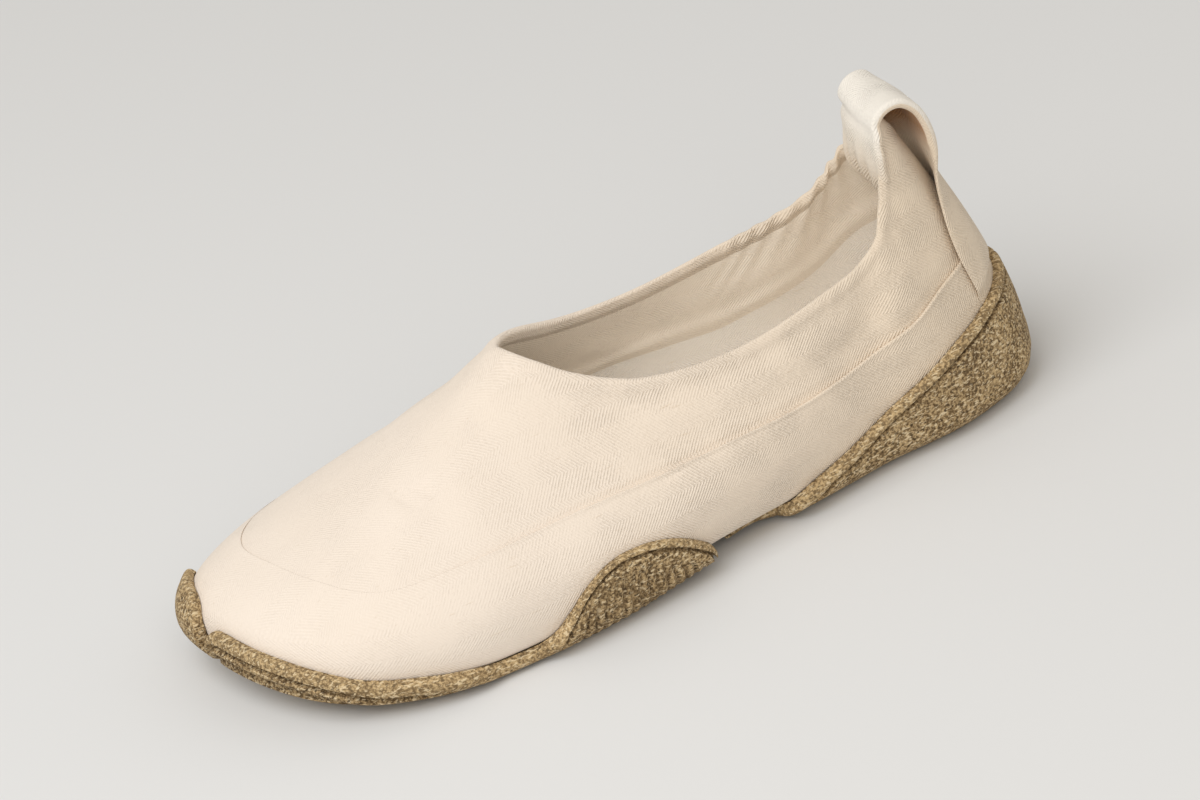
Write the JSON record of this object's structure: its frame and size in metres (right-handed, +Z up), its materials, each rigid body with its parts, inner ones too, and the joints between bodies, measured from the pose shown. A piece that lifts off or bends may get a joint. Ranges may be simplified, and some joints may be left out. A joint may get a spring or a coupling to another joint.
{
  "type": "barefoot slip-on shoe",
  "caption": "Left slip-on barefoot shoe: hollow canvas upper with a heel pull loop on a thin moulded cup sole with a side lobe, toe bumper and long slot.",
  "frame": {"origin": "middle of the shoe's footprint, on the plane that the heel and the ball stand on", "axes": "+X from the heel to the toe, +Y to the outer side of the foot, +Z up"},
  "size_m": [0.2774, 0.1102, 0.1065],
  "materials": {
    "canvas": "natural undyed cotton canvas",
    "cork_rubber": "moulded, matt, flecked with light and dark fibres",
    "board": "black lasting board",
    "lining": "tan cloth over foam"
  },
  "bodies": {
    "root": {"upper": "canvas", "outsole": "cork_rubber", "lasting_board": "board", "insole": "lining", "pull_loop": "canvas"}
  },
  "joints": []
}
